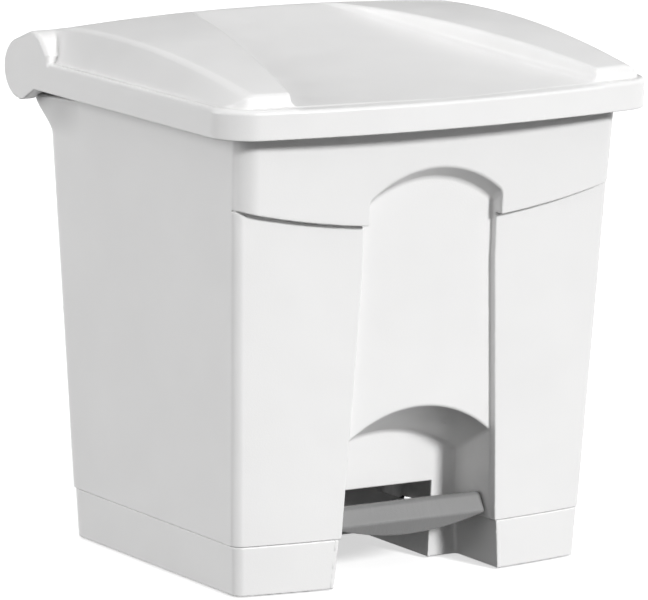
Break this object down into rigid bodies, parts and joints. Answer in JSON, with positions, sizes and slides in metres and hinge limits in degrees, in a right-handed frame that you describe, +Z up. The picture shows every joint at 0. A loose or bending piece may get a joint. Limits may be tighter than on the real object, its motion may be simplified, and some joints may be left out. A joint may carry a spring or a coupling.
{
  "type": "pedal trash can",
  "caption": "Square-built step-on waste bin in white plastic, with a bowed front, arched foot niche, crowned lid with a sunken centre panel, pedal lever, lift rod and lift-out liner",
  "frame": {"origin": "on the floor, under the middle of the bin's overall box", "axes": "+X to the bin's right as its user faces it, -Y to the front where the pedal is, +Z up"},
  "size_m": [0.407, 0.3871, 0.44],
  "materials": {
    "white_plastic": "semi-gloss moulded polypropylene, very faint grain",
    "pedal_plastic": "satin moulded polypropylene, mid grey",
    "liner_plastic": "satin moulded polypropylene",
    "grey_plastic": "satin moulded acetal",
    "steel": "zinc-plated steel",
    "rubber": "matte moulded rubber"
  },
  "bodies": {
    "bin": {"body_shell": "white_plastic", "base_plinth": "white_plastic", "plinth_screw_1": "steel", "plinth_screw_2": "steel", "plinth_screw_3": "steel", "plinth_screw_4": "steel", "rubber_foot_1": "rubber", "rubber_foot_2": "rubber", "rubber_foot_3": "rubber", "rubber_foot_4": "rubber", "inner_liner": "liner_plastic", "rod_guide_lower": "grey_plastic", "rod_guide_upper": "grey_plastic", "pedal_axle": "steel", "axle_bush_left": "grey_plastic", "axle_bush_right": "grey_plastic", "axle_clip_left": "steel", "axle_clip_right": "steel", "hinge_bush_left": "grey_plastic", "hinge_bush_right": "grey_plastic", "hinge_pin_left": "steel", "hinge_pin_right": "steel"},
    "lid": {"lid": "white_plastic", "lid_crank": "grey_plastic", "crank_screw_1": "steel", "crank_screw_2": "steel", "lid_buffer_left": "rubber", "lid_buffer_right": "rubber"},
    "pedal": {"pedal_tread": "pedal_plastic", "pedal_lever": "grey_plastic", "tread_screw_1": "steel", "tread_screw_2": "steel"},
    "rod": {"lift_rod": "steel", "rod_shoe": "grey_plastic", "rod_head": "grey_plastic"}
  },
  "joints": [
    {"name": "lid_hinge", "type": "hinge", "parent": "bin", "child": "lid", "pos_m": [0, 0.16805, 0.3945], "axis": [-1, 0, 0], "range_deg": [0, 80]},
    {"name": "rod_slide", "type": "slide", "parent": "bin", "child": "rod", "axis": [0, 0, 1], "range_m": [0, 0.0425]},
    {"name": "pedal_pivot", "type": "hinge", "parent": "bin", "child": "pedal", "pos_m": [0, -0.01895, 0.024], "axis": [1, 0, 0], "range_deg": [0, 16.1]}
  ],
  "couplings": [
    {"joint": "rod_slide", "follows": "lid_hinge", "m_per_rad": 0.03038},
    {"joint": "pedal_pivot", "follows": "lid_hinge", "ratio": 0.201}
  ]
}
